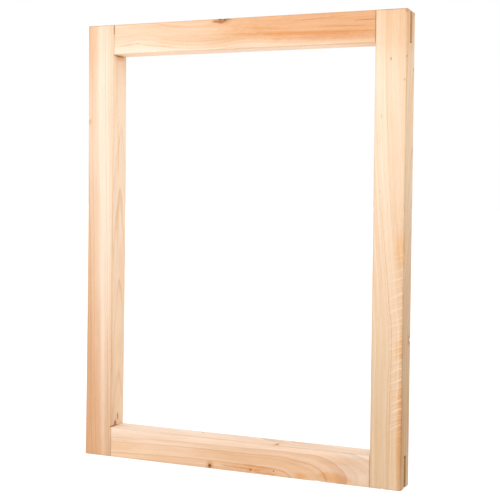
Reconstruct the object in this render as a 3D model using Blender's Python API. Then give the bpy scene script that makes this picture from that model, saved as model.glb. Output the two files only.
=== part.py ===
"""A bare wooden screen printing frame.

Two full-height stiles and two rails of planed softwood, joined at the corners with open bridle
joints: each rail ends in a through tenon that sits in an open slot in the end of a stile, and a
U-shaped film of glue lines each slot.

Metres, +Z up. The frame stands upright on its lower edge with its front face towards -Y. The origin
is at the middle of its base.
"""

import bmesh
import bpy
from mathutils import Vector

# Driving dimensions of the frame and of the stock that it is made from.
HEIGHT = 0.600
WIDTH = 0.460
FACE_WIDTH = 0.041
THICKNESS = 0.033

# The joint, from front to back: front cheek, slot, rear cheek.
FRONT_CHEEK = 0.0120
SLOT_WIDTH = 0.0090
TENON_RECESS = 0.0010

# Clearances and the glue.
FIT_GAP = 0.0003
GLUE_FILM = 0.0002
GLUE_SET_BACK = 0.0015

# Sanded arrises.
ARRIS_WIDTH = 0.0010
ARRIS_SEGMENTS = 2

# Places worked out from the dimensions above.
HALF_WIDTH = WIDTH / 2
HALF_THICKNESS = THICKNESS / 2
STILE_INNER_X = HALF_WIDTH - FACE_WIDTH
SHOULDER_X = STILE_INNER_X - FIT_GAP
TENON_END_X = HALF_WIDTH - TENON_RECESS
SLOT_FRONT_Y = -HALF_THICKNESS + FRONT_CHEEK
SLOT_BACK_Y = SLOT_FRONT_Y + SLOT_WIDTH
GLUE_SPACE = 2 * FIT_GAP + GLUE_FILM
SLOT_DEPTH = FACE_WIDTH + GLUE_SPACE
TENON_FRONT_Y = SLOT_FRONT_Y + GLUE_SPACE
TENON_BACK_Y = SLOT_BACK_Y - GLUE_SPACE
TOP_RAIL_LOW_Z = HEIGHT - FACE_WIDTH

SAME_PLACE = 1e-6


def clear_scene():
    """Remove whatever objects the open file holds."""
    for old in list(bpy.data.objects):
        bpy.data.objects.remove(old, do_unlink=True)


def plain_material(name, colour, roughness, coat=0.0):
    """A Principled BSDF with one colour."""
    material = bpy.data.materials.new(name)
    material.use_nodes = True
    shader = material.node_tree.nodes["Principled BSDF"]
    shader.inputs["Base Color"].default_value = (*colour, 1.0)
    shader.inputs["Roughness"].default_value = roughness
    shader.inputs["Metallic"].default_value = 0.0
    shader.inputs["Coat Weight"].default_value = coat
    return material


def extruded(outline, direction):
    """A closed bmesh body: a flat outline of corner points, pulled along a direction."""
    body = bmesh.new()
    start = body.faces.new([body.verts.new(point) for point in outline])
    pulled = bmesh.ops.extrude_face_region(body, geom=[start], use_keep_orig=True)
    moved = [item for item in pulled["geom"] if isinstance(item, bmesh.types.BMVert)]
    bmesh.ops.translate(body, verts=moved, vec=direction)
    bmesh.ops.recalc_face_normals(body, faces=body.faces)
    return body


def lies_on_box_edge(edge, low, high):
    """Whether an edge runs along one of the twelve edges of the box from low to high."""
    first, second = (vert.co for vert in edge.verts)
    shared_planes = 0
    for axis in range(3):
        for plane in (low[axis], high[axis]):
            if abs(first[axis] - plane) < SAME_PLACE and abs(second[axis] - plane) < SAME_PLACE:
                shared_planes += 1
    return shared_planes == 2


def mark_arrises(body):
    """Give full bevel weight to the outer arrises, and leave the joint's own edges crisp."""
    low = [min(vert.co[axis] for vert in body.verts) for axis in range(3)]
    high = [max(vert.co[axis] for vert in body.verts) for axis in range(3)]
    weight = body.edges.layers.float.new("bevel_weight_edge")
    for edge in body.edges:
        edge[weight] = 1.0 if lies_on_box_edge(edge, low, high) else 0.0


def place(name, body, material, location, parent):
    """Turn a bmesh body into a named object at a place under the frame's empty."""
    mesh = bpy.data.meshes.new(name)
    body.to_mesh(mesh)
    body.free()
    mesh.materials.append(material)
    piece = bpy.data.objects.new(name, mesh)
    bpy.context.scene.collection.objects.link(piece)
    piece.location = location
    piece.parent = parent
    return piece


def ease_arrises(piece):
    """Sand the marked arrises round."""
    bevel = piece.modifiers.new("Sanded arrises", "BEVEL")
    bevel.width = ARRIS_WIDTH
    bevel.segments = ARRIS_SEGMENTS
    bevel.limit_method = "WEIGHT"


def add_stile(name, centre_x, material, parent):
    """A full-height bar with an open slot across each end. Its side outline is pulled across X."""
    slot_foot = SLOT_DEPTH
    slot_head = HEIGHT - SLOT_DEPTH
    side_outline = [
        (-HALF_THICKNESS, 0.0),
        (SLOT_FRONT_Y, 0.0),
        (SLOT_FRONT_Y, slot_foot),
        (SLOT_BACK_Y, slot_foot),
        (SLOT_BACK_Y, 0.0),
        (HALF_THICKNESS, 0.0),
        (HALF_THICKNESS, HEIGHT),
        (SLOT_BACK_Y, HEIGHT),
        (SLOT_BACK_Y, slot_head),
        (SLOT_FRONT_Y, slot_head),
        (SLOT_FRONT_Y, HEIGHT),
        (-HALF_THICKNESS, HEIGHT),
    ]
    corners = [Vector((-FACE_WIDTH / 2, y, z)) for y, z in side_outline]
    body = extruded(corners, Vector((FACE_WIDTH, 0.0, 0.0)))
    mark_arrises(body)
    ease_arrises(place(name, body, material, (centre_x, 0.0, 0.0), parent))


def add_rail(name, low_z, material, parent):
    """A bar between the stiles with a tenon at each end. Its plan outline is pulled up along Z."""
    plan_outline = [
        (-SHOULDER_X, -HALF_THICKNESS),
        (SHOULDER_X, -HALF_THICKNESS),
        (SHOULDER_X, TENON_FRONT_Y),
        (TENON_END_X, TENON_FRONT_Y),
        (TENON_END_X, TENON_BACK_Y),
        (SHOULDER_X, TENON_BACK_Y),
        (SHOULDER_X, HALF_THICKNESS),
        (-SHOULDER_X, HALF_THICKNESS),
        (-SHOULDER_X, TENON_BACK_Y),
        (-TENON_END_X, TENON_BACK_Y),
        (-TENON_END_X, TENON_FRONT_Y),
        (-SHOULDER_X, TENON_FRONT_Y),
    ]
    corners = [Vector((x, y, 0.0)) for x, y in plan_outline]
    body = extruded(corners, Vector((0.0, 0.0, FACE_WIDTH)))
    mark_arrises(body)
    ease_arrises(place(name, body, material, (0.0, 0.0, low_z), parent))


def add_glue_line(name, side, at_top, material, parent):
    """The glue round one tenon: a film on each cheek and one on the slot's floor, as one U."""
    floor_outer = SLOT_DEPTH - FIT_GAP
    floor_inner = floor_outer - GLUE_FILM
    mouth = GLUE_SET_BACK
    front_outer = SLOT_FRONT_Y + FIT_GAP
    front_inner = front_outer + GLUE_FILM
    back_outer = SLOT_BACK_Y - FIT_GAP
    back_inner = back_outer - GLUE_FILM
    u_outline = [
        (front_outer, mouth),
        (front_inner, mouth),
        (front_inner, floor_inner),
        (back_inner, floor_inner),
        (back_inner, mouth),
        (back_outer, mouth),
        (back_outer, floor_outer),
        (front_outer, floor_outer),
    ]
    length = FACE_WIDTH - 2 * GLUE_SET_BACK
    up = -1.0 if at_top else 1.0
    corners = [Vector((-length / 2, y, up * z)) for y, z in u_outline]
    body = extruded(corners, Vector((length, 0.0, 0.0)))
    centre_x = side * (HALF_WIDTH - FACE_WIDTH / 2)
    end_z = HEIGHT if at_top else 0.0
    place(name, body, material, (centre_x, 0.0, end_z), parent)


def build_frame():
    """The whole frame, under one empty at the middle of its base."""
    clear_scene()
    base = bpy.data.objects.new("frame_base", None)
    bpy.context.scene.collection.objects.link(base)

    left_wood = plain_material("left_stile_wood", (0.86, 0.66, 0.46), 0.58)
    right_wood = plain_material("right_stile_wood", (0.88, 0.66, 0.46), 0.58)
    top_wood = plain_material("top_rail_wood", (0.86, 0.61, 0.38), 0.58)
    bottom_wood = plain_material("bottom_rail_wood", (0.84, 0.60, 0.39), 0.58)
    glue = plain_material("wood_glue", (0.70, 0.52, 0.28), 0.30, coat=0.3)

    stile_centre = HALF_WIDTH - FACE_WIDTH / 2
    add_stile("left_stile", -stile_centre, left_wood, base)
    add_stile("right_stile", stile_centre, right_wood, base)
    add_rail("top_rail", TOP_RAIL_LOW_Z, top_wood, base)
    add_rail("bottom_rail", 0.0, bottom_wood, base)
    for level, at_top in (("top", True), ("bottom", False)):
        for hand, side in (("left", -1.0), ("right", 1.0)):
            add_glue_line(f"glue_line_{level}_{hand}", side, at_top, glue, base)


build_frame()
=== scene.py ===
"""Looks of a bare wooden screen printing frame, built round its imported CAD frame.

Metres, +Z up, front face towards -Y, origin at the middle of the base. Distances in the grain
descriptions are in millimetres, in the same frame.
"""

import math
from dataclasses import dataclass, field

import bpy
import numpy as np
from mathutils import Matrix, Vector, noise


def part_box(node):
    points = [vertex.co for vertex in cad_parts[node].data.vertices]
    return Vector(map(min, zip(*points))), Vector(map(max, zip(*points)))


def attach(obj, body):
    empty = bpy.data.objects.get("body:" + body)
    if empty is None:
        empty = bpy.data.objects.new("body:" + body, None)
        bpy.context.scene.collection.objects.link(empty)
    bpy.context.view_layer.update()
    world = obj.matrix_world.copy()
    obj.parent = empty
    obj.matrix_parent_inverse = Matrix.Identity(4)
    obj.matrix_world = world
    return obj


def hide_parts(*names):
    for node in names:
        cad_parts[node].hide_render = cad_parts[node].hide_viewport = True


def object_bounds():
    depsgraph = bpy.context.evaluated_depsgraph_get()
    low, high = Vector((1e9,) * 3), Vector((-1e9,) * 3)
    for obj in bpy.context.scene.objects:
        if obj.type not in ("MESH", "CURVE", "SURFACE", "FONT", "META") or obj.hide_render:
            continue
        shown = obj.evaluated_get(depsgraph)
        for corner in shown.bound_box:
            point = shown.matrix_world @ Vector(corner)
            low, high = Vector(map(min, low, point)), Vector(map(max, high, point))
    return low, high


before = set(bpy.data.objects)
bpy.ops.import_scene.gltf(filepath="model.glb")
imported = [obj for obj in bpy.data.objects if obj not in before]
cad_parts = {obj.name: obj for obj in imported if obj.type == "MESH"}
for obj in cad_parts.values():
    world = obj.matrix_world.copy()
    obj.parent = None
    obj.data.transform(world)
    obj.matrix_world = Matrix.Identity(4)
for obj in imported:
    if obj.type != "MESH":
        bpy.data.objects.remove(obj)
cad_low, cad_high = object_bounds()

MM = 0.001

# Places that come from the frame. FRONT is the front face's place in mm.
left_low, left_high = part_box("left_stile")
right_low, right_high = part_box("right_stile")
top_low, top_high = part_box("top_rail")
bottom_low, bottom_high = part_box("bottom_rail")
glue_low, glue_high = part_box("glue_line_bottom_left")

FRONT_Y = left_low.y
FRONT = round(FRONT_Y / MM, 3)
BACK_Y = left_high.y
HEIGHT = left_high.z
SHOULDER_X = right_low.x
SIDE_X = right_high.x
TENON_END_X = top_high.x
CAD_FIT_GAP = 0.3 * MM
SLOT_FRONT_Y = glue_low.y - CAD_FIT_GAP
SLOT_BACK_Y = glue_high.y + CAD_FIT_GAP

# The finished joint is tighter than the frame's clearances.
SEEN_GAP = 0.12 * MM
GLUE_THICKNESS = 0.28 * MM
TENON_FRONT_Y = SLOT_FRONT_Y + GLUE_THICKNESS
TENON_BACK_Y = SLOT_BACK_Y - GLUE_THICKNESS
TENON_HEIGHT = top_high.z - top_low.z
SLOT_DEPTH = TENON_HEIGHT + GLUE_THICKNESS

# How the wood is cut up into faces.
FACE_STEP = 2.0 * MM
FIRST_STEP = 0.15 * MM
STEP_GROWTH = 1.45
SHARP_ANGLE = math.radians(40.0)

# How the wood's edges are rounded: corners that show little, and the sanded arrises.
STILE_INNER_CORNER = 0.5 * MM
RAIL_SHOULDER_CORNER = 0.15 * MM
STILE_ARRIS = 0.85 * MM
STILE_ARRIS_WANDER = 0.30 * MM
RAIL_ARRIS = 0.75 * MM
RAIL_ARRIS_WANDER = 0.25 * MM

# A rail's arrises stay nearly sharp this close to its shoulders, and all along its tenons.
UNSANDED_REACH = 2.5 * MM


# ---- Bodies made on a lattice of lines that close up towards their edges ----


def graded_span(start, end):
    """Lines from start to end whose spacing grows from FIRST_STEP at both ends to FACE_STEP."""
    offsets = [0.0]
    gap = FIRST_STEP
    while gap < FACE_STEP and offsets[-1] + gap < 0.4 * (end - start):
        offsets.append(offsets[-1] + gap)
        gap *= STEP_GROWTH
    edge = offsets[-1]
    middle_count = max(1, round((end - start - 2 * edge) / FACE_STEP))
    middle = np.linspace(start + edge, end - edge, middle_count + 1)
    low_part = [start + offset for offset in offsets[:-1]]
    high_part = [end - offset for offset in reversed(offsets[:-1])]
    return np.concatenate([low_part, middle, high_part])


def lattice_lines(edges, close=()):
    """Lines through all the edges, with closer ones in the close zones, each (start, end, step)."""
    spans = [graded_span(start, end) for start, end in zip(edges, edges[1:])]
    lines = np.unique(np.concatenate(spans).round(7))
    for start, end, close_step in close:
        outside = lines[(lines <= start) | (lines >= end)]
        inside = np.arange(start + close_step, end, close_step)
        lines = np.unique(np.concatenate([outside, inside]).round(7))
    return lines


def boundary(solid):
    """The outside of the solid cells of a lattice: its corners as lattice indices, and its quads."""
    padded = np.pad(solid, 1)
    line_counts = np.array(solid.shape) + 1
    quads = []
    for axis in range(3):
        second = np.eye(3, dtype=int)[(axis + 1) % 3]
        third = np.eye(3, dtype=int)[(axis + 2) % 3]
        for outward in (0, 1):
            neighbour = np.roll(padded, 1 - 2 * outward, axis=axis)
            cells = np.argwhere(padded & ~neighbour) - 1
            first_corner = cells + outward * np.eye(3, dtype=int)[axis]
            ring = [first_corner, first_corner + second, first_corner + second + third,
                    first_corner + third]
            if not outward:
                ring.reverse()
            quads.append(np.stack(ring, axis=1))
    corners = np.concatenate(quads)
    flat = np.ravel_multi_index(corners.reshape(-1, 3).T, line_counts)
    used, index = np.unique(flat, return_inverse=True)
    lattice_points = np.stack(np.unravel_index(used, line_counts), axis=1)
    return lattice_points, index.reshape(-1, 4)


def lattice_body(lines, is_solid):
    """Points and quads of the closed body whose cells, told by their middles, are solid."""
    middles = [(part[:-1] + part[1:]) / 2 for part in lines]
    solid = is_solid(*np.meshgrid(*middles, indexing="ij"))
    lattice_points, quads = boundary(solid)
    points = np.stack([lines[axis][lattice_points[:, axis]] for axis in range(3)], axis=1)
    return points, quads


def make_piece(name, points, quads, material):
    """A smooth-shaded mesh object, with sharp edges where the surface turns by more than
    SHARP_ANGLE."""
    mesh = bpy.data.meshes.new(name)
    mesh.from_pydata(points.tolist(), [], quads.tolist())
    mesh.materials.append(material)
    mesh.shade_smooth()
    mesh.set_sharp_from_angle(angle=SHARP_ANGLE)
    piece = bpy.data.objects.new(name, mesh)
    bpy.context.scene.collection.objects.link(piece)
    return piece


# ---- Shaping: rounded corners, sanded arrises, dents and a slight bow ----


def wander(points, size, seed):
    """Smooth noise from -1 to 1 for each point; size is its grain along X, Y and Z."""
    scaled = points / np.array(size) + seed * 17.31
    return np.array([noise.noise(Vector(point)) for point in scaled])


def square_to_round(first, second):
    """How much to shrink a point of a unit square's quadrant so that the square becomes a disc."""
    length = np.hypot(first, second)
    return np.where(length > 0, np.maximum(first, second) / np.maximum(length, 1e-12), 1.0)


def round_corners(points, low, high, radius):
    """Rounds the corners of the rectangle from low to high in X and Z, each point with its radius.
    Also gives each point's distance inside the outline, and the outline's outward direction."""
    flat = points[:, [0, 2]]
    inner_low = low + radius[:, None]
    inner_high = high - radius[:, None]
    core = np.clip(flat, inner_low, inner_high)
    out = flat - core
    size = np.abs(out)
    in_corner = (size[:, 0] > 0) & (size[:, 1] > 0)
    shrink = np.where(in_corner, square_to_round(size[:, 0], size[:, 1]), 1.0)
    flat = core + out * shrink[:, None]

    reach = np.stack([flat[:, 0] - low[:, 0], high[:, 0] - flat[:, 0],
                      flat[:, 1] - low[:, 1], high[:, 1] - flat[:, 1]], axis=1)
    nearest = reach.argmin(axis=1)
    straight = np.array([[-1.0, 0.0], [1.0, 0.0], [0.0, -1.0], [0.0, 1.0]])[nearest]
    corner_out = flat - core
    corner_length = np.hypot(corner_out[:, 0], corner_out[:, 1])
    corner_way = corner_out / np.maximum(corner_length, 1e-12)[:, None]
    distance = np.where(in_corner, radius - corner_length, reach.min(axis=1))
    outward = np.where(in_corner[:, None], corner_way, straight)
    rounded = points.copy()
    rounded[:, [0, 2]] = flat
    return rounded, distance, outward


def sand_arrises(points, distance, outward, radius):
    """Rounds the edges where the front and back faces meet the outline."""
    from_front = points[:, 1] - FRONT_Y
    from_back = BACK_Y - points[:, 1]
    depth = np.minimum(from_front, from_back)
    inward_sign = np.where(from_front < from_back, 1.0, -1.0)
    first = np.maximum(radius - distance, 0.0)
    second = np.maximum(radius - depth, 0.0)
    near_edge = (first > 0) & (second > 0)
    shrink = np.where(near_edge, square_to_round(first, second), 1.0)
    sanded = points.copy()
    sanded[:, [0, 2]] -= outward * (first * (1 - shrink))[:, None]
    sanded[:, 1] += inward_sign * second * (1 - shrink)
    return sanded


@dataclass
class Dent:
    """A hollow: its middle and its radii in mm, how far and which way the surface is pushed, in mm,
    and how uneven it is."""

    at: tuple
    size: tuple
    push: tuple
    ragged: float


def press_dents(points, dents):
    """Pushes the surface in at each dent."""
    chip_size = (1.3 * MM,) * 3
    pressed = points.copy()
    for number, dent in enumerate(dents):
        away = (points - np.array(dent.at) * MM) / (np.array(dent.size) * MM)
        share = np.exp(-(away**2).sum(axis=1))
        share *= 1 + dent.ragged * wander(points, chip_size, number + 3)
        pressed += share[:, None] * np.array(dent.push) * MM
    return pressed


def inside_frame(points):
    """Keeps every point inside the frame's own box."""
    return np.clip(points, np.array(cad_low), np.array(cad_high))


def stile_points(points, side, corner_sizes, bow, dents):
    """Shapes a stile. corner_sizes are the (front, back) radii of the bottom and the top outer
    corner, and bow is how far the middle of the stile bends inward, all in mm."""
    x, y, z = points.T
    outer = side * x > (SIDE_X + SHOULDER_X) / 2
    at_top = z > HEIGHT / 2
    behind = y > (SLOT_FRONT_Y + SLOT_BACK_Y) / 2
    chosen = np.array(corner_sizes)[at_top.astype(int), behind.astype(int)] * MM
    radius = np.where(outer, chosen, STILE_INNER_CORNER)
    low_x, high_x = sorted((side * SHOULDER_X, side * SIDE_X))
    low = np.tile([low_x, 0.0], (len(points), 1))
    high = np.tile([high_x, HEIGHT], (len(points), 1))
    shaped, distance, outward = round_corners(points, low, high, radius)
    arris = STILE_ARRIS + STILE_ARRIS_WANDER * wander(points, (0.05, 0.02, 0.035), 1)
    shaped = sand_arrises(shaped, distance, outward, arris)
    share = 2 * z / HEIGHT - 1
    shaped[:, 0] -= side * bow * MM * (1 - share**2)
    return inside_frame(press_dents(shaped, dents))


@dataclass
class Shoulder:
    """How one end of a rail is fitted: how far its shoulder stays off the stile at its upper and
    lower edge, how deep its tenon's end lies behind the CAD's, and that end's corner radius, in mm."""

    upper_gap: float = 0.15
    lower_gap: float = 0.15
    recess: float = 0.0
    corner: float = 2.0


def rail_points(points, low_z, high_z, shoulders, dents):
    """Shapes a rail, with its (left, right) shoulders."""
    x, y, z = points.T
    at_right = (x > 0).astype(int)
    on_tenon = np.abs(x) > SHOULDER_X
    corners = np.array([shoulder.corner for shoulder in shoulders])[at_right] * MM
    radius = np.where(on_tenon, corners, RAIL_SHOULDER_CORNER)
    recess = np.array([shoulder.recess for shoulder in shoulders])[at_right] * MM
    at_end = np.isclose(np.abs(x), TENON_END_X)
    points = points.copy()
    points[at_end, 0] -= (np.sign(x) * recess)[at_end]
    reach = np.where(on_tenon, TENON_END_X - recess, SHOULDER_X - SEEN_GAP)
    low = np.stack([-reach, np.full(len(points), low_z)], axis=1)
    high = np.stack([reach, np.full(len(points), high_z)], axis=1)
    at_shoulder = np.isclose(np.abs(x), SHOULDER_X - SEEN_GAP)
    shaped, distance, outward = round_corners(points, low, high, radius)
    arris = RAIL_ARRIS + RAIL_ARRIS_WANDER * wander(points, (0.035, 0.02, 0.05), 2)
    near_sharp = np.clip((SHOULDER_X - np.abs(x)) / UNSANDED_REACH, 0.12, 1.0)
    shaped = sand_arrises(shaped, distance, outward, arris * near_sharp)
    lower = np.array([shoulder.lower_gap for shoulder in shoulders])[at_right]
    upper = np.array([shoulder.upper_gap for shoulder in shoulders])[at_right]
    gap = (lower + (upper - lower) * (z - low_z) / (high_z - low_z)) * MM
    shaped[at_shoulder, 0] = (np.sign(x) * (SHOULDER_X - gap))[at_shoulder]
    return inside_frame(press_dents(shaped, dents))


def add_stile(name, node, side, material, corner_sizes, bow, dents, close):
    """A stile: a bar with an open slot across each end, which stands for its CAD node."""
    inner_x, outer_x = sorted((side * SHOULDER_X, side * SIDE_X))
    lines = [
        lattice_lines([inner_x, outer_x]),
        lattice_lines([FRONT_Y, SLOT_FRONT_Y, SLOT_BACK_Y, BACK_Y]),
        lattice_lines([0.0, SLOT_DEPTH, HEIGHT - SLOT_DEPTH, HEIGHT], close=close),
    ]

    def is_solid(_, y, z):
        in_slot = (y > SLOT_FRONT_Y) & (y < SLOT_BACK_Y)
        at_end = (z < SLOT_DEPTH) | (z > HEIGHT - SLOT_DEPTH)
        return ~(in_slot & at_end)

    points, quads = lattice_body(lines, is_solid)
    points = stile_points(points, side, corner_sizes, bow, dents)
    piece = make_piece(name, points, quads, material)
    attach(piece, "root")
    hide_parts(node)


def add_rail(name, node, low_z, high_z, material, shoulders, dents, close):
    """A rail: a bar with a tenon at each end, which stands for its CAD node."""
    end_x = SHOULDER_X - SEEN_GAP
    lines = [
        lattice_lines([-TENON_END_X, -end_x, end_x, TENON_END_X], close=close),
        lattice_lines([FRONT_Y, TENON_FRONT_Y, TENON_BACK_Y, BACK_Y]),
        lattice_lines([low_z, high_z]),
    ]

    def is_solid(x, y, _):
        in_tenon = (y > TENON_FRONT_Y) & (y < TENON_BACK_Y)
        return (np.abs(x) < end_x) | in_tenon

    points, quads = lattice_body(lines, is_solid)
    points = rail_points(points, low_z, high_z, shoulders, dents)
    piece = make_piece(name, points, quads, material)
    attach(piece, "root")
    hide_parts(node)


# ---- Shader building ----


class Field:
    """A number or vector that varies over the surface, which can be used in formulas."""

    def __init__(self, graph, socket):
        self.graph = graph
        self.socket = socket

    def maths(self, operation, *others):
        return self.graph.maths(operation, self, *others)

    def __add__(self, other):
        return self.maths("ADD", other)

    def __sub__(self, other):
        return self.maths("SUBTRACT", other)

    def __mul__(self, other):
        return self.maths("MULTIPLY", other)

    def __rsub__(self, other):
        return self.graph.maths("SUBTRACT", other, self)

    def __truediv__(self, other):
        return self.maths("DIVIDE", other)

    __radd__ = __add__


class Graph:
    """The node tree of one material, and short names for the nodes used here."""

    def __init__(self, name):
        self.material = bpy.data.materials.new(name)
        self.material.use_nodes = True
        self.tree = self.material.node_tree
        self.shader = self.tree.nodes["Principled BSDF"]

    def node(self, kind, inputs, **settings):
        """Adds a node, sets its properties, and links or sets its inputs, given by name or number."""
        made = self.tree.nodes.new(kind)
        for setting, value in settings.items():
            setattr(made, setting, value)
        for key, value in inputs.items():
            self.connect(made.inputs[key], value)
        return made

    def connect(self, socket, value):
        if isinstance(value, Field):
            self.tree.links.new(value.socket, socket)
        elif isinstance(value, tuple) and socket.type == "RGBA":
            socket.default_value = (*value, 1.0)
        else:
            socket.default_value = value

    def surface(self, inputs):
        """Links or sets the shader's own inputs, given by name."""
        for key, value in inputs.items():
            self.connect(self.shader.inputs[key], value)

    def maths(self, operation, *values):
        made = self.node("ShaderNodeMath", dict(enumerate(values)), operation=operation)
        return Field(self, made.outputs[0])

    def parts(self, vector):
        """A vector's X, Y and Z."""
        split = self.node("ShaderNodeSeparateXYZ", {0: vector})
        return [Field(self, split.outputs[axis]) for axis in range(3)]

    def position(self):
        """The place on the surface, in mm in the frame's own axes, as X, Y and Z."""
        coordinates = self.node("ShaderNodeTexCoord", {})
        return self.parts(self.scale(Field(self, coordinates.outputs["Object"]), 1 / MM))

    def facing(self):
        """The surface's direction as X, Y and Z."""
        coordinates = self.node("ShaderNodeTexCoord", {})
        return self.parts(Field(self, coordinates.outputs["Normal"]))

    def speckle(self, x, y, z, detail=2.0):
        """Noise from 0 to 1, about 0.5, with features one unit of x, y and z across."""
        spot = Field(self, self.node("ShaderNodeCombineXYZ", {0: x, 1: y, 2: z}).outputs[0])
        made = self.node(
            "ShaderNodeTexNoise",
            {"Vector": spot, "Scale": 1.0, "Detail": detail, "Roughness": 0.5},
        )
        return Field(self, made.outputs["Fac"])

    def chance(self, value):
        """A random number from 0 to 1 that belongs to the value."""
        made = self.node("ShaderNodeTexWhiteNoise", {"W": value}, noise_dimensions="1D")
        return Field(self, made.outputs["Value"])

    def rise(self, value, start, end):
        """A smooth step from 0 at start to 1 at end, or the other way where end is the lower."""
        low, high = (start, end) if start < end else (end, start)
        made = self.node(
            "ShaderNodeMapRange",
            {"Value": value, "From Min": low, "From Max": high},
            interpolation_type="SMOOTHSTEP",
        )
        result = Field(self, made.outputs["Result"])
        return result if start < end else 1.0 - result

    def curve(self, value, points):
        """A smooth curve through (value, result) points."""
        firsts = [first for first, _ in points]
        seconds = [second for _, second in points]
        first_low, first_size = min(firsts), max(firsts) - min(firsts)
        second_low, second_size = min(seconds), (max(seconds) - min(seconds)) or 1.0
        share = (value - first_low) / first_size
        made = self.node("ShaderNodeFloatCurve", {"Value": share})
        line = made.mapping.curves[0]
        while len(line.points) < len(points):
            line.points.new(0.5, 0.5)
        ordered = sorted(points)
        for dot, (first, second) in zip(line.points, ordered):
            dot.location = ((first - first_low) / first_size, (second - second_low) / second_size)
        made.mapping.update()
        return Field(self, made.outputs["Value"]) * second_size + second_low

    def mix(self, share, first, second, blend="MIX"):
        """A colour between first and second."""
        made = self.tree.nodes.new("ShaderNodeMix")
        made.data_type = "RGBA"
        made.blend_type = blend
        self.connect(made.inputs[0], share)
        self.connect(made.inputs[6], first)
        self.connect(made.inputs[7], second)
        return Field(self, made.outputs[2])

    def scale(self, vector, amount):
        """A vector or a colour times a number."""
        made = self.node("ShaderNodeVectorMath", {0: vector, "Scale": amount}, operation="SCALE")
        return Field(self, made.outputs[0])

    def bump(self, height, distance):
        """The surface's direction with relief on it, where a height of 1 stands for the distance."""
        inputs = {"Height": height, "Distance": distance, "Strength": 1.0}
        return Field(self, self.node("ShaderNodeBump", inputs).outputs["Normal"])


# ---- Wood ----


@dataclass
class Mark:
    """A tinted place: an ellipsoid with a soft, ragged edge. Most are marks in the wood; some are
    painted shade. Its middle and radii are in mm along X, Y and Z. A slope leans it: mm across for
    each mm along the grain. Where it follows the grain it moves over with the member's drift."""

    at: tuple
    size: tuple
    colour: tuple
    soft: float = 0.5
    ragged: float = 0.2
    slope: float = 0.0
    follows_grain: bool = False


@dataclass
class Knot:
    """A knot: its middle and radii in mm, its colour, how far it pushes the growth rings aside, in
    mm, and how strong the tint round it is."""

    at: tuple
    radius: tuple
    colour: tuple
    lift: float
    halo: float = 0.5


@dataclass
class Ripple:
    """Curly figure: faint bars across the grain, pitch mm apart, inside an ellipsoid."""

    at: tuple
    size: tuple
    pitch: float
    strength: float


@dataclass
class Strokes:
    """Pale slanted strokes that a blunt planer left on the front face, between two places across
    and two along the member; their paleness is painted sheen of the pressed wood. They are pitch
    mm apart, and slope is their rise in mm for each mm across."""

    across: tuple
    along: tuple
    pitch: float
    slope: float
    strength: float


@dataclass
class Grain:
    """How one member is cut from its tree. The pith is given across the face and in depth, in mm;
    the two drifts are curves of (place along the member, how far the grain has moved over).
    The wood goes from pale at warmth 0 to orange at 1, by the sum of a curve across the grain and
    one along, which on the stiles also paints light high up and shade towards the foot;
    warmth_drift is how much of the drift across moves the first of them.
    The two lines curves, multiplied, are how strong the ring lines are; side_lines changes that on
    the narrow sides; band is how much of a year's ring is a broad shade rather than a thin line.
    Warp and curl are how much the rings waver over long and short stretches, and mottle is how
    cloudy the warmth is. low and high are the corners of the member's box between its shoulders,
    in mm."""

    along: int
    across: int
    low: tuple
    high: tuple
    pith: tuple
    across_drift: list
    depth_drift: list
    warmth_across: list
    warmth_along: list
    lines_across: list
    lines_along: list
    spacing: float
    seed: float
    side_lines: float = 1.0
    band: float = 0.25
    warmth_drift: float = 1.0
    warp: float = 0.6
    curl: float = 0.2
    mottle: float = 0.5
    marks: list = field(default_factory=list)
    knots: list = field(default_factory=list)
    ripples: list = field(default_factory=list)
    strokes: list = field(default_factory=list)


# Depth is along Y in every member.
DEPTH = 1

# The wood's colours. The tints multiply what lies under them.
PALE_WOOD = (0.88, 0.69, 0.54)
WARM_WOOD = (0.70, 0.42, 0.235)
LATE_TINT = (0.76, 0.54, 0.38)
KNOT_HALO = (0.84, 0.62, 0.42)
SPECK_TINT = (0.62, 0.44, 0.30)
WORN_TINT = (0.80, 0.72, 0.64)
END_TINT = (0.90, 0.70, 0.46)

# Where in a year's ring the broad shade and the thin line rise, and where both fall.
BAND_START, BAND_FULL = 0.15, 0.95
LINE_START, LINE_FULL = 0.74, 0.93
FALL_START = 0.965

# How far out a knot's lift and its halo reach, in knot radii.
LIFT_REACH = 2.5
HALO_REACH = 1.9

# What a relief height of 1 stands for.
RELIEF = 0.06 * MM


def squared_reach(place, at, size):
    """The square of the distance from a middle, counted in radii."""
    x, y, z = [(place[axis] - at[axis]) / size[axis] for axis in range(3)]
    return x * x + y * y + z * z


def ellipsoid(graph, place, at, size, soft, ragged=None):
    """1 inside an ellipsoid and 0 outside, with a soft edge that the ragged field moves."""
    distance = squared_reach(place, at, size).maths("SQRT")
    if ragged is not None:
        distance = distance + ragged
    return graph.rise(distance, 1.0 + soft, 1.0 - soft)


def fibrous(graph, spot, seed, width, length, detail):
    """Noise from 0 to 1 with features width by length mm, drawn out along the grain. The spot is
    the place across the member, in depth and along it."""
    across, depth, along = spot
    return graph.speckle(across / width, depth / width, along / length + seed, detail)


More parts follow.
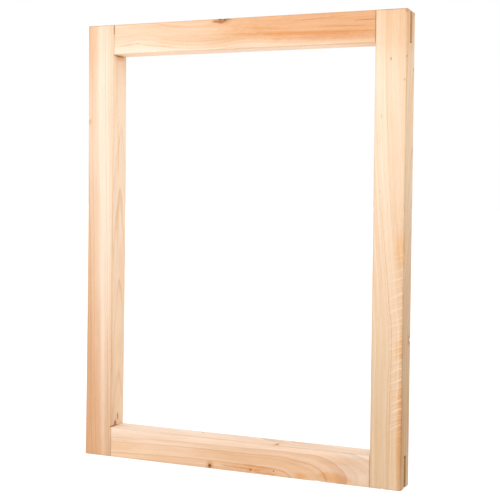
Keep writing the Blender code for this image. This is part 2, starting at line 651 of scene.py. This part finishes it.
def growth_rings(graph, place, grain):
    """Distance from the pith in mm, with the drift, the warp and the knots' lift in it, and how far
    the grain has moved across the member."""
    along = place[grain.along]
    drift = graph.curve(along, grain.across_drift)
    unmoved = place[grain.across] - drift
    across = unmoved - grain.pith[0]
    depth = place[DEPTH] - grain.pith[1] - graph.curve(along, grain.depth_drift)
    rings = (across * across + depth * depth).maths("SQRT")
    spot = (across, depth, along)
    slow = fibrous(graph, spot, grain.seed, width=30, length=150, detail=1.0)
    quick = fibrous(graph, spot, grain.seed, width=5, length=42, detail=2.0)
    curly = fibrous(graph, spot, grain.seed, width=4, length=8, detail=2.0)
    rings = rings + (slow - 0.5) * (4.0 * grain.warp) + (quick - 0.5) * (0.7 * grain.warp)
    rings = rings + (curly - 0.5) * grain.curl
    for knot in grain.knots:
        square = squared_reach(place, knot.at, [size * LIFT_REACH for size in knot.radius])
        rings = rings + (square * -1.0).maths("EXPONENT") * knot.lift
    return rings, drift


def ring_lines(graph, rings, grain):
    """How much late wood there is: a faint rise through each year's ring to a thin line, and a
    quick fall. Also gives the number of the year."""
    uneven = graph.speckle(rings / 7, 0.5, grain.seed + 0.5, detail=1.0)
    years = (rings + (uneven - 0.5) * (3.0 * grain.spacing)) / grain.spacing
    year = years.maths("FLOOR")
    share = years.maths("FRACT")
    fall = graph.rise(share, 1.0, FALL_START)
    broad = graph.rise(share, BAND_START, BAND_FULL)
    thin = graph.rise(share, LINE_START, LINE_FULL)
    late = (broad * grain.band + thin * (1.0 - grain.band)) * fall
    return late * (graph.chance(year + grain.seed) * 0.9 + 0.15), year


def warm_wood(graph, place, drift, year, grain, tone, streak):
    """The wood's own colour before lines, marks and knots."""
    across = place[grain.across] - drift * grain.warmth_drift
    warmth = graph.curve(across, grain.warmth_across)
    warmth = warmth + graph.curve(place[grain.along], grain.warmth_along)
    warmth = warmth + (tone - 0.5) * grain.mottle + (streak - 0.5) * 0.55
    warmth = warmth + (graph.chance(year + grain.seed + 40.0) - 0.5) * 0.16
    return graph.mix(warmth, PALE_WOOD, WARM_WOOD)


def planer_strokes(graph, place, grain, strokes, rough):
    """Where the pale strokes lie, from 0 to 1."""
    across, along = place[grain.across], place[grain.along]
    uneven = graph.speckle(along / 22, 0.5, grain.seed, detail=1.0)
    phase = (along - across * strokes.slope + rough * 2.0) / strokes.pitch + uneven * 1.6
    share = phase.maths("FRACT")
    number = phase.maths("FLOOR")
    # In each pitch there is a broad stroke and then a thin one, uneven in strength.
    broad = graph.rise(share, 0.28, 0.42) * graph.rise(share, 0.64, 0.50)
    thin = graph.rise(share, 0.74, 0.82) * graph.rise(share, 0.94, 0.86)
    stroke = broad * (graph.chance(number) * 0.6 + 0.4) + thin * graph.chance(number + 0.5) * 0.6
    low, high = strokes.across
    start, end = strokes.along
    reach = across + rough * 7.0 + graph.chance(number + 0.25) * 6.0
    inside = graph.rise(reach, low - 2.0, low + 6.0)
    inside = inside * graph.rise(across, high + 1.0, high - 1.0)
    inside = inside * graph.rise(along, start - 30.0, start + 30.0)
    inside = inside * graph.rise(along, end + 25.0, end - 25.0)
    on_front = graph.rise(place[DEPTH], FRONT + 2.0, FRONT + 1.0)
    return stroke * inside * on_front


def worn_arrises(graph, place, grain, rough):
    """1 along the member's arrises, and 0 away from them."""
    middles = [(low + high) / 2 for low, high in zip(grain.low, grain.high)]
    halves = [(high - low) / 2 for low, high in zip(grain.low, grain.high)]
    inside = [(half - (place[axis] - middle).maths("ABSOLUTE")).maths("ABSOLUTE")
              for axis, (middle, half) in enumerate(zip(middles, halves))]
    worn = 0.0
    for first, second in ((0, 1), (1, 2), (0, 2)):
        reach = inside[first] + inside[second] + rough * 1.6
        worn = graph.maths("MAXIMUM", worn, graph.rise(reach, 2.0, 0.6))
    return worn


def mark_wood(graph, place, unmoved, grain, colour, rough):
    """The colour with the grain's marks and curly figure in it."""
    along, other = place[grain.along], place[grain.across]
    for mark in grain.marks:
        moved = list(place)
        if mark.follows_grain:
            moved[grain.across] = unmoved
        if mark.slope:
            middle = mark.at[grain.along]
            moved[grain.across] = moved[grain.across] - (along - middle) * mark.slope
        share = ellipsoid(graph, moved, mark.at, mark.size, mark.soft,
                          rough * (4.0 * mark.ragged))
        colour = graph.mix(share, colour, mark.colour, blend="MULTIPLY")
    for ripple in grain.ripples:
        share = ellipsoid(graph, place, ripple.at, ripple.size, 0.7)
        bars = ((along + other * 0.6 + rough * 6.0) * (math.tau / ripple.pitch)).maths("SINE")
        colour = graph.scale(colour, 1.0 + share * bars * ripple.strength)
    return colour


def add_knots(graph, place, grain, colour, rough):
    """The colour with the grain's knots in it, and where they are."""
    knotty = 0.0
    for knot in grain.knots:
        share = ellipsoid(graph, place, knot.at, knot.radius, 0.25, rough * 1.2)
        halo_size = [size * HALO_REACH for size in knot.radius]
        halo = ellipsoid(graph, place, knot.at, halo_size, 0.6, rough * 1.2)
        colour = graph.mix(halo * knot.halo, colour, KNOT_HALO, blend="MULTIPLY")
        colour = graph.mix(share, colour, knot.colour)
        knotty = graph.maths("MAXIMUM", knotty, share)
    return colour, knotty


def wood_material(name, grain):
    """Planed softwood: growth rings, fibres, resin specks, marks, knots and darker end grain."""
    graph = Graph(name)
    place = graph.position()
    facing = graph.facing()
    along = place[grain.along]
    depth = place[DEPTH]
    rings, drift = growth_rings(graph, place, grain)
    unmoved = place[grain.across] - drift
    spot = (place[grain.across], depth, along)
    late, year = ring_lines(graph, rings, grain)

    tone = fibrous(graph, spot, grain.seed, width=20, length=90, detail=2.0)
    streak = graph.speckle(rings / 1.3, depth / 30, along / 130 + grain.seed, detail=3.0)
    fibre = fibrous(graph, spot, grain.seed, width=0.7, length=14, detail=3.0)
    thread = fibrous(graph, spot, grain.seed, width=1.9, length=70, detail=2.0)
    speck = fibrous(graph, spot, grain.seed, width=0.6, length=2.6, detail=1.0)
    specks = graph.rise(speck, 0.66, 0.76)
    rough = fibrous(graph, spot, grain.seed, width=3.5, length=9, detail=3.0) - 0.5

    colour = warm_wood(graph, place, drift, year, grain, tone, streak)
    on_side = graph.rise(facing[grain.across].maths("ABSOLUTE"), 0.5, 0.8)
    strength = graph.curve(unmoved, grain.lines_across) * graph.curve(along, grain.lines_along)
    strength = strength * (1.0 + on_side * (grain.side_lines - 1.0))
    colour = graph.mix(late * strength, colour, LATE_TINT, blend="MULTIPLY")
    colour = mark_wood(graph, place, unmoved, grain, colour, rough)
    colour, knotty = add_knots(graph, place, grain, colour, rough)
    colour = graph.scale(colour, 0.85 + fibre * 0.18 + thread * 0.12)
    colour = graph.mix(specks * 0.35, colour, SPECK_TINT, blend="MULTIPLY")
    worn = worn_arrises(graph, place, grain, rough)
    colour = graph.mix(worn * 0.55, colour, WORN_TINT, blend="MULTIPLY")
    height = late * 0.12 + fibre * 0.5

    for strokes in grain.strokes:
        share = planer_strokes(graph, place, grain, strokes, rough)
        # The strokes' relief is real; their paleness is painted sheen.
        colour = graph.mix(share * strokes.strength, colour, PALE_WOOD)
        height = height + share * 1.5

    end_on = graph.rise(facing[grain.along].maths("ABSOLUTE"), 0.55, 0.85)
    end_speck = fibrous(graph, spot, grain.seed, width=0.6, length=0.6, detail=3.0)
    colour = graph.mix(end_on, colour, END_TINT, blend="MULTIPLY")
    colour = graph.scale(colour, 1.0 - end_on * (end_speck * 0.5))
    height = height + end_on * (end_speck * 2.0)

    roughness = 0.62 - late * 0.10 + (fibre - 0.5) * 0.16 + end_on * 0.25 + knotty * 0.2
    shine = 0.35 - graph.maths("MAXIMUM", end_on, knotty) * 0.27
    graph.surface({"Base Color": colour, "Roughness": roughness, "Specular IOR Level": shine,
                   "Normal": graph.bump(height, RELIEF)})
    return graph.material


ALONG_Z = {"along": 2, "across": 0}
ALONG_X = {"along": 0, "across": 2}
DARK_CRACK = (0.40, 0.24, 0.13)
# Glue lines in the inner corners, darkened with painted corner shade.
GLUE_AND_CORNER_SHADE = (0.52, 0.36, 0.21)


def member_box(low, high):
    """The part of a member's box between the shoulders, in mm, as keyword arguments for a Grain."""
    reach = Vector((SHOULDER_X, 1.0, 1.0))
    is_rail = low.x < 0 < high.x
    first = Vector(max(pair) for pair in zip(low, -reach)) if is_rail else low
    last = Vector(min(pair) for pair in zip(high, reach)) if is_rail else high
    return {"low": tuple(first / MM), "high": tuple(last / MM)}


left_grain = Grain(
    **ALONG_Z,
    **member_box(left_low, left_high),
    pith=(-261.4, -0.5),
    across_drift=[(0, 10.0), (100, 7.5), (200, 6.0), (340, 3.7), (470, 0.7), (600, -0.8)],
    depth_drift=[(0, 0.0), (300, 1.5), (600, 0.0)],
    warmth_across=[(-242, 1.05), (-230, 0.72), (-222, 0.52), (-214, 0.22), (-210, -0.07),
                   (-205, -0.01), (-200, 0.1), (-194, 0.14), (-189, 0.15)],
    # Paler high up and warmer, darker towards the foot: partly the wood's own colour, partly painted
    # light high up and painted shade at the foot.
    warmth_along=[(0, 0.50), (100, 0.38), (200, 0.21), (320, 0.05), (450, -0.06), (560, 0.18),
                  (600, 0.32)],
    lines_across=[(-242, 1.1), (-214, 0.9), (-209, 0.35), (-203, 0.9), (-189, 1.1)],
    lines_along=[(0, 1.3), (200, 1.0), (600, 0.9)],
    spacing=2.0,
    seed=3.1,
    side_lines=0.45,
    band=0.12,
    marks=[
        # Painted shade, darker towards the foot, and a worn top edge.
        Mark(at=(-226, -22, -60), size=(34, 18, 300), colour=(0.93, 0.86, 0.80), soft=0.6,
             ragged=0.05),
        Mark(at=(-194, -18, -40), size=(8, 14, 180), colour=(0.88, 0.82, 0.75), ragged=0.05),
        Mark(at=(-209, FRONT, 599.8), size=(28, 3, 0.7), colour=(0.88, 0.78, 0.68), ragged=0.5),
        # By the joints: a speck, cracks, glue lines with painted corner shade,
        # painted shade under the top rail and a painted shadow in the shoulder's gap.
        Mark(at=(-189, 1.2, 52.5), size=(2, 1.4, 4.5), colour=(0.50, 0.27, 0.11), soft=0.4,
             ragged=0.4),
        Mark(at=(-189, -5.5, 45), size=(2, 2.6, 3.4), colour=DARK_CRACK),
        Mark(at=(-189, -9, 41.5), size=(2, 10, 1.4), colour=GLUE_AND_CORNER_SHADE),
        Mark(at=(-189, -3, 558.2), size=(2, 13, 1.6), colour=GLUE_AND_CORNER_SHADE),
        # Painted shade under the top rail.
        Mark(at=(-189, 1, 556), size=(2, 12, 4), colour=(0.88, 0.76, 0.60), soft=0.7),
        # Painted shadow in the shoulder's gap.
        Mark(at=(-189.2, FRONT, 594), size=(0.6, 3, 7), colour=(0.60, 0.48, 0.36), soft=0.4,
             ragged=0.3),
        # The inner side: its tint and orange streaks.
        Mark(at=(-185, 0, 300), size=(7, 60, 900), colour=(1.0, 0.99, 0.94), soft=0.3, ragged=0.05),
        Mark(at=(-189, -4.5, 430), size=(3, 2.4, 42), colour=(0.96, 0.84, 0.70), soft=0.6,
             ragged=0.4),
        Mark(at=(-189, -5, 325), size=(3, 3.0, 30), colour=(0.96, 0.85, 0.72), soft=0.6,
             ragged=0.4),
        Mark(at=(-189, -9, 520), size=(3, 1.5, 50), colour=(0.97, 0.88, 0.76), soft=0.6,
             ragged=0.4),
    ],
    knots=[
        Knot(at=(-230, FRONT, 466), radius=(3.0, 4, 2.6), colour=(0.66, 0.42, 0.25), lift=1.5),
    ],
)

right_grain = Grain(
    **ALONG_Z,
    **member_box(right_low, right_high),
    pith=(130.0, 20.0),
    across_drift=[(0, 22.0), (125, 24.0), (183, 25.0), (233, 21.0), (340, 11.0), (385, 8.0),
                  (450, 5.0), (600, 0.0)],
    depth_drift=[(0, 0.0), (300, 3.0), (600, 0.0)],
    warmth_across=[(160, 0.1), (175, 0.0), (189, 0.05), (197, 0.0), (203, 0.15), (212, 0.25),
                   (230, 0.3)],
    # Paler high up and warmer, darker towards the foot: partly the wood's own colour, partly painted
    # light high up and painted shade at the foot.
    warmth_along=[(0, 0.72), (100, 0.68), (200, 0.52), (300, 0.36), (400, 0.18), (500, 0.12),
                  (560, 0.43), (600, 0.6)],
    lines_across=[(160, 0.55), (189, 0.65), (201, 0.6), (206, 0.3), (230, 0.3)],
    lines_along=[(0, 1.15), (300, 0.9), (600, 0.8)],
    spacing=2.1,
    seed=8.7,
    side_lines=3.0,
    mottle=0.3,
    marks=[
        # The whole bar, and its greyer foot.
        Mark(at=(209, 0, 300), size=(60, 60, 900), colour=(0.985, 1.0, 0.97), soft=0.3,
             ragged=0.05),
        Mark(at=(200, -20, -40), size=(24, 18, 230), colour=(0.91, 0.95, 0.955), ragged=0.05),
        # Warm patches by the outer arris.
        Mark(at=(227, -16, 75), size=(4.5, 10, 60), colour=(0.97, 0.82, 0.64)),
        Mark(at=(226, -16, 177), size=(5, 8, 14), colour=(0.97, 0.86, 0.72), soft=0.6),
        Mark(at=(225, -16, 300), size=(6, 8, 22), colour=(0.98, 0.86, 0.70), soft=0.6),
        # Flecks and dark lines on the face.
        Mark(at=(198.2, FRONT, 467), size=(0.7, 3, 2.4), colour=(0.88, 0.70, 0.56)),
        Mark(at=(197, FRONT, 373), size=(0.6, 3, 1.6), colour=(0.94, 0.82, 0.72)),
        Mark(at=(201.5, FRONT, 480), size=(0.6, 5, 115), colour=(0.92, 0.84, 0.74), ragged=0.1,
             follows_grain=True),
        Mark(at=(190.3, FRONT, 165), size=(0.7, 5, 190), colour=(0.90, 0.81, 0.70), ragged=0.1,
             follows_grain=True),
        # The outer side's tint, the worn top, and painted shade over the outer side's lower half.
        Mark(at=(238, 0, 300), size=(11, 60, 900), colour=(1.0, 0.99, 0.94), soft=0.3, ragged=0.05),
        Mark(at=(209, FRONT, 599.8), size=(28, 3, 0.9), colour=(0.84, 0.74, 0.62), ragged=0.5),
        Mark(at=(229, -16, 598), size=(2.2, 3.0, 3.0), colour=(0.78, 0.70, 0.63), soft=0.7),
        Mark(at=(229.5, 15.5, 597), size=(2.5, 3.5, 3.0), colour=(0.70, 0.62, 0.52), soft=0.6),
        Mark(at=(230, 12, 527), size=(3, 1.3, 2.2), colour=(0.64, 0.46, 0.32)),
        # Painted shade over the outer side's lower half.
        Mark(at=(234, 0, -20), size=(7, 40, 420), colour=(0.69, 0.69, 0.65), ragged=0.05),
    ],
    knots=[
        Knot(at=(209.5, FRONT, 538.5), radius=(0.7, 1.5, 1.5), colour=(0.36, 0.20, 0.11), lift=0.4),
        Knot(at=(230, FRONT, 541), radius=(1.0, 2.0, 1.0), colour=(0.50, 0.32, 0.20), lift=0.3),
        Knot(at=(227.5, FRONT, 512), radius=(0.6, 2.0, 1.2), colour=(0.50, 0.32, 0.20), lift=0.3),
        Knot(at=(230, 12.0, 186), radius=(3, 3.0, 3.5), colour=(0.44, 0.30, 0.15), lift=2.0,
             halo=0.9),
    ],
    strokes=[Strokes(across=(215, 229), along=(65, 300), pitch=9.6, slope=0.38, strength=0.45)],
)

top_grain = Grain(
    **ALONG_X,
    **member_box(top_low, top_high),
    pith=(500.0, 25.0),
    across_drift=[(-230, 1.5), (-179, 0.0), (-147, 3.0), (-116, -2.0), (-89, -6.0), (-59, -7.5),
                  (-24, -6.5), (11, -3.0), (61, -5.5), (189, -7.5), (230, -8.0)],
    depth_drift=[(-230, 0.0), (0, 2.0), (230, 0.0)],
    warmth_across=[(550, -1.1), (558, -1.0), (562, -0.5), (566, -0.46), (570, -0.25),
                   (575, -0.05), (582, 0.05), (610, 0.05)],
    warmth_along=[(-230, 0.45), (-150, 0.5), (-80, 0.62), (-30, 0.80), (10, 0.92), (110, 0.93),
                  (189, 1.12), (230, 1.12)],
    lines_across=[(550, 0.7), (575, 0.7), (610, 0.8)],
    lines_along=[(-230, 0.5), (-80, 0.5), (0, 0.7), (90, 0.95), (189, 1.0), (230, 1.0)],
    spacing=1.9,
    seed=5.5,
    curl=1.3,
    marks=[
        # The warm right part, and the underside.
        Mark(at=(120, -16, 585), size=(125, 12, 17), colour=(0.97, 0.86, 0.76), soft=0.4),
        Mark(at=(-170, 0, 558), size=(110, 16, 2.0), colour=(0.97, 0.87, 0.76), soft=0.6,
             ragged=0.05),
        Mark(at=(170, 1, 558), size=(140, 15, 2.0), colour=(1.08, 1.13, 1.15), soft=0.6,
             ragged=0.05),
        # The orange band and what lies by it.
        Mark(at=(110, FRONT, 575.5), size=(105, 4, 2.4), colour=(0.97, 0.80, 0.56), slope=-0.02),
        Mark(at=(34, FRONT, 585), size=(24, 4, 1.6), colour=(0.98, 0.88, 0.70), soft=0.8,
             ragged=0.5, slope=-0.06),
        Mark(at=(130, FRONT, 569.5), size=(75, 6, 3.2), colour=(0.97, 0.86, 0.82), soft=0.6),
        # Fine dark lines, a painted shadow in the left shoulder's gap, and the stain under the knot.
        Mark(at=(176, FRONT, 588.5), size=(14, 3, 0.8), colour=(0.84, 0.66, 0.50)),
        Mark(at=(110, FRONT, 593), size=(30, 3, 0.6), colour=(0.88, 0.74, 0.60), slope=0.05,
             ragged=0.5),
        Mark(at=(150, FRONT, 582), size=(30, 3, 0.6), colour=(0.88, 0.74, 0.60), slope=-0.03,
             ragged=0.5),
        Mark(at=(-168, FRONT, 571), size=(20, 3, 0.6), colour=(0.88, 0.76, 0.64), slope=0.09,
             ragged=0.5),
        Mark(at=(-124, FRONT, 568.5), size=(28, 3, 0.7), colour=(0.86, 0.74, 0.62), slope=-0.13,
             ragged=0.4),
        # Painted shadow in the shoulder's gap.
        Mark(at=(-188.5, FRONT, 594), size=(0.6, 3, 7), colour=(0.60, 0.48, 0.36), soft=0.4,
             ragged=0.3),
        Mark(at=(-27, FRONT, 596.3), size=(10, 3, 2.4), colour=(0.62, 0.42, 0.27), ragged=0.4),
    ],
    knots=[
        Knot(at=(-22, FRONT, 599.3), radius=(8, 5, 2.8), colour=(0.38, 0.20, 0.10), lift=-2.5),
        Knot(at=(-20, FRONT, 598.4), radius=(1.8, 2, 1.5), colour=(0.16, 0.08, 0.04), lift=0.0,
             halo=0.0),
        Knot(at=(-27, FRONT, 599.0), radius=(2.0, 2, 0.9), colour=(0.20, 0.10, 0.05), lift=0.0,
             halo=0.0),
        Knot(at=(-9, FRONT, 600.2), radius=(4.0, 4, 1.2), colour=(0.36, 0.21, 0.12), lift=0.0),
    ],
    ripples=[Ripple(at=(-49, FRONT, 572), size=(48, 8, 9), pitch=3.6, strength=0.09)],
)

bottom_grain = Grain(
    **ALONG_X,
    **member_box(bottom_low, bottom_high),
    pith=(-40.0, 13.5),
    across_drift=[(-230, -4.0), (-60, 0.0), (40, 4.0), (90, 20.0), (120, 34.0), (150, 44.0),
                  (189, 50.0), (230, 52.0)],
    depth_drift=[(-230, 3.0), (-60, 0.0), (40, 6.0), (90, 27.0), (120, 38.0), (150, 46.5),
                 (165, 49.5), (189, 53.0), (230, 58.0)],
    warmth_across=[(-30, 0.12), (10, 0.12), (28, 0.0), (35, -0.25), (41, -0.5), (45, -0.5)],
    warmth_along=[(-230, 0.32), (-115, 0.48), (-60, 0.6), (0, 0.76), (60, 0.82), (120, 0.74),
                  (189, 0.44), (230, 0.3)],
    lines_across=[(-30, 0.75), (45, 0.6)],
    lines_along=[(-230, 0.75), (-60, 0.75), (60, 1.1), (230, 0.95)],
    spacing=3.2,
    seed=7.9,
    band=0.65,
    warmth_drift=0.0,
    warp=0.35,
    curl=0.35,
    mottle=0.75,
    marks=[
        # The pale left, and painted shade that greys the right end.
        Mark(at=(-165, -16, 12), size=(60, 14, 13), colour=(1.0, 0.97, 0.90), soft=0.6),
        # Painted shade greying the right end.
        Mark(at=(180, -17, 18), size=(36, 10, 30), colour=(0.92, 0.94, 0.97)),
        # Resin along the lower edge, and small cracks.
        Mark(at=(40, FRONT, 9), size=(24, 3, 1.6), colour=(0.92, 0.76, 0.60), soft=0.7, slope=-0.06,
             ragged=0.6),
        Mark(at=(142, FRONT, 7), size=(21, 6, 6), colour=(0.93, 0.78, 0.58), soft=0.35, slope=-0.1),
        Mark(at=(96, FRONT, 5), size=(9, 4, 3), colour=(0.95, 0.82, 0.60), soft=0.6, ragged=0.4),
        Mark(at=(18, FRONT, 5.5), size=(32, 3, 1.2), colour=(0.86, 0.66, 0.47), soft=0.6,
             slope=-0.03, ragged=0.6),
        Mark(at=(45, FRONT, 2.5), size=(20, 3, 0.9), colour=(0.84, 0.62, 0.43), soft=0.6,
             ragged=0.6),
        Mark(at=(25, FRONT, 4.5), size=(2.0, 2, 1.6), colour=(0.66, 0.46, 0.30)),
        Mark(at=(58, FRONT, 6.5), size=(1.2, 2, 1.0), colour=DARK_CRACK),
        Mark(at=(-58, 8.8, 41), size=(1.5, 1.5, 1.0), colour=DARK_CRACK),
        # The right tenon's recessed end: painted shade over it, deeper along its front edge and under
        # the slot's floor.
        Mark(at=(230, 0, 18), size=(5, 8, 26), colour=(0.96, 0.80, 0.64), soft=0.3),
        Mark(at=(230, -4, 18), size=(5, 1.6, 26), colour=(0.55, 0.38, 0.25), soft=0.4),
        Mark(at=(230, 0, 40), size=(5, 8, 3), colour=(0.60, 0.42, 0.28), soft=0.4),
    ],
    knots=[
        Knot(at=(-35.0, FRONT, 3.8), radius=(2.6, 8, 2.7), colour=(0.24, 0.10, 0.04), lift=0.5,
             halo=1.0),
        Knot(at=(60.0, -10.0, 41), radius=(2.2, 4.0, 1.5), colour=(0.36, 0.20, 0.12), lift=0.5),
    ],
)


# ---- The four members ----

left_wood = wood_material("left_stile_pine", left_grain)
right_wood = wood_material("right_stile_pine", right_grain)
top_wood = wood_material("top_rail_pine", top_grain)
bottom_wood = wood_material("bottom_rail_pine", bottom_grain)

add_stile(
    "left_stile_planed", "left_stile", -1.0, left_wood,
    corner_sizes=[(1.0, 1.5), (1.0, 1.5)],
    bow=1.35,
    dents=[Dent(at=(-230, FRONT, 472), size=(2.0, 3.0, 1.6), push=(0.6, 0.3, 0), ragged=0.5)],
    close=[(0.460, 0.480, 0.5 * MM)],
)
add_stile(
    "right_stile_planed", "right_stile", 1.0, right_wood,
    corner_sizes=[(0.9, 1.6), (1.2, 3.0)],
    bow=0.0,
    dents=[
        Dent(at=(205.7, FRONT, 0), size=(0.5, 6.0, 2.5), push=(0, 0.8, 1.2), ragged=0.3),
        Dent(at=(230, 16.5, 186), size=(2.0, 2.5, 2.2), push=(-0.9, -0.6, 0), ragged=0.5),
    ],
    close=[(0.178, 0.195, 0.7 * MM)],
)
add_rail(
    "top_rail_planed", "top_rail", top_low.z, HEIGHT, top_wood,
    shoulders=(Shoulder(upper_gap=0.55, lower_gap=0.2), Shoulder(corner=1.5)),
    dents=[
        Dent(at=(-22, FRONT, 600), size=(5.0, 3.0, 2.5), push=(0, 0.7, -0.3), ragged=0.6),
        Dent(at=(-9, FRONT, 600), size=(4.0, 2.5, 1.5), push=(0, 0.5, -0.5), ragged=0.5),
    ],
    close=[(-0.040, 0.0, 0.5 * MM)],
)
add_rail(
    "bottom_rail_planed", "bottom_rail", 0.0, bottom_high.z, bottom_wood,
    shoulders=(Shoulder(upper_gap=0.5, lower_gap=0.1), Shoulder(recess=0.5, corner=2.5)),
    dents=[
        Dent(at=(58.5, -9, 41), size=(2.0, 4.0, 2.0), push=(0, 0, -0.5), ragged=0.4),
        Dent(at=(118, FRONT, 0), size=(5.0, 2.0, 1.5), push=(0, 0.5, 0.7), ragged=0.5),
    ],
    close=[(0.054, 0.064, 0.5 * MM)],
)


# ---- Glue ----


def glue_material():
    """Dried wood glue: clear brown, glossy, a little uneven."""
    graph = Graph("dried_wood_glue")
    x, y, z = graph.position()
    cloud = graph.speckle(x / 2.0, y / 2.0, z / 2.0, detail=2.0)
    colour = graph.mix(cloud, (0.52, 0.33, 0.15), (0.72, 0.53, 0.30))
    graph.surface({"Base Color": colour, "Roughness": 0.25 + cloud * 0.2, "Coat Weight": 0.3,
                   "Normal": graph.bump(cloud, 0.1 * MM)})
    return graph.material


GLUE_INSET = 0.02 * MM
GLUE_EDGE = 6 * MM
GLUE_RECESS = 0.9 * MM
GLUE_RECESS_WANDER = 0.8 * MM


def add_glue_line(node, side, at_top, material):
    """The glue round one tenon: a film on each cheek and on the slot's floor, with uneven edges."""
    front = [SLOT_FRONT_Y + GLUE_INSET, TENON_FRONT_Y - GLUE_INSET]
    back = [TENON_BACK_Y + GLUE_INSET, SLOT_BACK_Y - GLUE_INSET]
    floor = [TENON_HEIGHT + GLUE_INSET, SLOT_DEPTH - GLUE_INSET]
    lines = [
        np.linspace(SHOULDER_X, SIDE_X, 60),
        np.array([*front, (SLOT_FRONT_Y + SLOT_BACK_Y) / 2, *back]),
        np.concatenate([np.linspace(0.0, floor[0], 60), [floor[1]]]),
    ]

    def is_solid(_, y, z):
        on_cheek = (y < front[1]) | (y > back[0])
        return on_cheek | (z > floor[0])

    points, quads = lattice_body(lines, is_solid)
    edge = wander(points, (6 * MM, 8 * MM, 6 * MM), 4.0 + side + 2.0 * at_top)
    recess = GLUE_RECESS + GLUE_RECESS_WANDER * edge
    x, z = points[:, 0].copy(), points[:, 2].copy()
    near_side = np.clip((x - SIDE_X + GLUE_EDGE) / GLUE_EDGE, 0.0, 1.0)
    near_end = np.clip((GLUE_EDGE - z) / GLUE_EDGE, 0.0, 1.0)
    points[:, 0] -= near_side * recess
    points[:, 2] += near_end * recess
    if side < 0:
        points[:, 0] *= -1.0
        quads = quads[:, ::-1]
    if at_top:
        points[:, 2] = HEIGHT - points[:, 2]
        quads = quads[:, ::-1]
    piece = make_piece(node + "_film", points, quads, material)
    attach(piece, "root")
    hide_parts(node)


glue = glue_material()
for level, at_top in (("top", True), ("bottom", False)):
    for hand, side in (("left", -1.0), ("right", 1.0)):
        add_glue_line(f"glue_line_{level}_{hand}", side, at_top, glue)


# ---- Studio ----


def add_floor():
    """A wide white floor just under the frame, bright enough to lose its shadows."""
    size = 30.0
    corners = [(-size, -size, 0.0), (size, -size, 0.0), (size, size, 0.0), (-size, size, 0.0)]
    mesh = bpy.data.meshes.new("studio_floor")
    mesh.from_pydata(corners, [], [(0, 1, 2, 3)])
    graph = Graph("studio_white")
    x, y, _ = graph.position()
    cloud = graph.speckle(x / 900, y / 900, 0.0)
    white = graph.mix(cloud, (0.16,) * 3, (0.18,) * 3)
    graph.surface({"Base Color": white, "Roughness": 0.9, "Emission Color": (1.0, 1.0, 1.0),
                   "Emission Strength": 0.95})
    mesh.materials.append(graph.material)
    floor = bpy.data.objects.new("studio_floor", mesh)
    floor.location.z = -0.2 * MM
    bpy.context.scene.collection.objects.link(floor)


def add_softbox(name, place, target, size, power):
    """A square area light that faces the target."""
    light = bpy.data.lights.new(name, "AREA")
    light.shape = "SQUARE"
    light.size = size
    light.energy = power
    lamp = bpy.data.objects.new(name, light)
    lamp.location = place
    lamp.rotation_mode = "QUATERNION"
    lamp.rotation_quaternion = (Vector(target) - Vector(place)).to_track_quat("-Z", "Y")
    bpy.context.scene.collection.objects.link(lamp)


def add_world():
    """A white tent of even light."""
    world = bpy.data.worlds.new("studio_world")
    bpy.context.scene.world = world
    world.use_nodes = True
    background = world.node_tree.nodes["Background"]
    background.inputs["Color"].default_value = (1.0, 1.0, 1.0, 1.0)
    background.inputs["Strength"].default_value = 1.0


def add_camera(place, yaw, pitch, roll, lens, shift):
    """The camera, turned yaw degrees to the left of +Y, pitch down and roll clockwise."""
    yaw, pitch, roll = (math.radians(angle) for angle in (yaw, pitch, roll))
    forward = Vector((-math.sin(yaw) * math.cos(pitch), math.cos(yaw) * math.cos(pitch),
                      -math.sin(pitch)))
    level_right = Vector((math.cos(yaw), math.sin(yaw), 0.0))
    level_up = level_right.cross(forward)
    right = math.cos(roll) * level_right + math.sin(roll) * level_up
    up = -math.sin(roll) * level_right + math.cos(roll) * level_up
    turned = Matrix((right, up, -forward)).transposed()
    data = bpy.data.cameras.new("studio_camera")
    data.sensor_width = 36.0
    data.lens = lens
    data.shift_x, data.shift_y = shift
    camera = bpy.data.objects.new("studio_camera", data)
    camera.matrix_world = Matrix.Translation(place) @ turned.to_4x4()
    bpy.context.scene.collection.objects.link(camera)
    bpy.context.scene.camera = camera


add_floor()
add_world()
add_softbox("key_left", (-0.50, -0.90, 1.10), (0.0, 0.0, 0.42), 0.6, 1.5)
add_softbox("key_top", (0.05, -0.55, 1.00), (0.0, 0.0, 0.42), 0.5, 1.5)
add_camera(
    place=(0.6269, -1.3711, 0.3679), yaw=23.889, pitch=1.283, roll=0.667, lens=81.36,
    shift=(-0.0095, -0.0608),
)
bpy.context.scene.view_settings.view_transform = "Standard"
